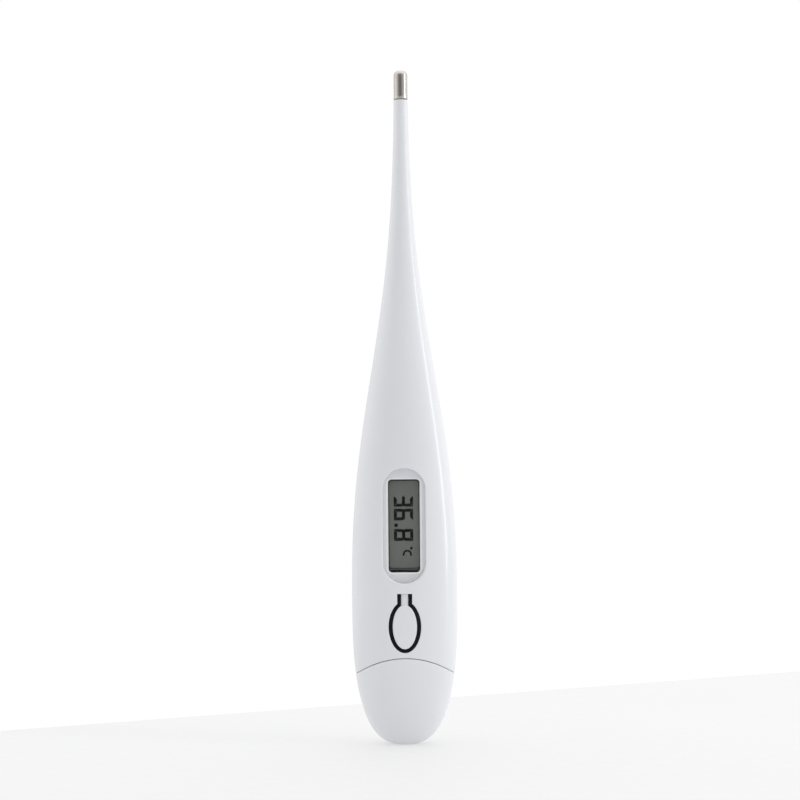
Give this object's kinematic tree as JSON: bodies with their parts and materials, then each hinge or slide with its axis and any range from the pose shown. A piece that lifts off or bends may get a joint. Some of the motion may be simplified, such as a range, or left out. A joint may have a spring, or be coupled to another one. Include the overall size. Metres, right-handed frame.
{
  "type": "digital thermometer",
  "caption": "Stick-shaped clinical thermometer with a display window, a soft-sealed button, a metal sensing tip and a pull-off battery cover.",
  "frame": {"origin": "centre of the small flat at the rounded lower end", "axes": "+Z along the stick to the metal tip, -Y out of the display face, +X to the right of someone facing the display with the tip up"},
  "size_m": [0.0194, 0.0105, 0.125],
  "materials": {
    "housing_white": "glossy white moulded ABS",
    "seal_black": "satin black thermoplastic rubber",
    "lens_clear": "clear moulded acrylic",
    "tip_steel": "drawn nickel-plated steel, softly polished",
    "adhesive_grey": "cured adhesive",
    "bead_glass": "glass-sealed thermistor",
    "potting_resin": "black epoxy",
    "lead_enamel": "enamelled copper",
    "board_green": "green solder mask on glass-epoxy",
    "carrier_white": "satin moulded ABS",
    "foam_black": "fine black foam",
    "polariser_film": "anti-glare polarising film",
    "display_glass": "thin display glass",
    "reflector_film": "satin grey-green reflector",
    "strip_rubber": "layered conductive elastomer",
    "cell_steel": "nickel-plated steel",
    "gasket_nylon": "nylon",
    "contact_metal": "tinned spring bronze",
    "disc_brass": "rolled brass",
    "ceramic_white": "silvered piezo ceramic",
    "wire_insulation": "insulated wire",
    "chip_black": "chip part body",
    "solder_metal": "solder"
  },
  "bodies": {
    "housing": {"housing": "housing_white", "button_seal": "seal_black", "window_lens": "lens_clear", "probe_cap": "tip_steel", "cap_seal_ring": "adhesive_grey", "thermistor_bead": "bead_glass", "tip_potting": "potting_resin", "sensor_leads": "lead_enamel"},
    "button": {"button": "housing_white"},
    "carrier": {"carrier": "carrier_white", "circuit_board": "board_green", "display_gasket": "foam_black", "front_polariser": "polariser_film", "display_front_glass": "display_glass", "display_rear_glass": "display_glass", "display_reflector": "reflector_film", "contact_strip": "strip_rubber", "cell_can": "cell_steel", "cell_gasket": "gasket_nylon", "cell_cap": "cell_steel", "negative_contact": "contact_metal", "positive_contact": "contact_metal", "snap_dome": "contact_metal", "buzzer_disc": "disc_brass", "buzzer_ceramic": "ceramic_white", "buzzer_wires": "wire_insulation", "chip_blob": "potting_resin", "chip_parts": "chip_black", "solder_joints": "solder_metal"},
    "battery_cover": {"battery_cover": "housing_white"}
  },
  "joints": [
    {"name": "button_press", "type": "hinge", "parent": "housing", "child": "button", "pos_m": [0, -0.0046, 0.02826], "axis": [1, 0, 0], "range_deg": [0, 2.2], "stiffness_Nm_per_rad": 0.05, "deforming": ["snap_dome"]},
    {"name": "carrier_slide", "type": "slide", "parent": "housing", "child": "carrier", "axis": [0, 0, -1], "range_m": [0, 0.0095], "deforming": ["sensor_leads"]},
    {"name": "cover_slide", "type": "slide", "parent": "carrier", "child": "battery_cover", "axis": [0, 0, -1], "range_m": [0, 0.026]}
  ]
}
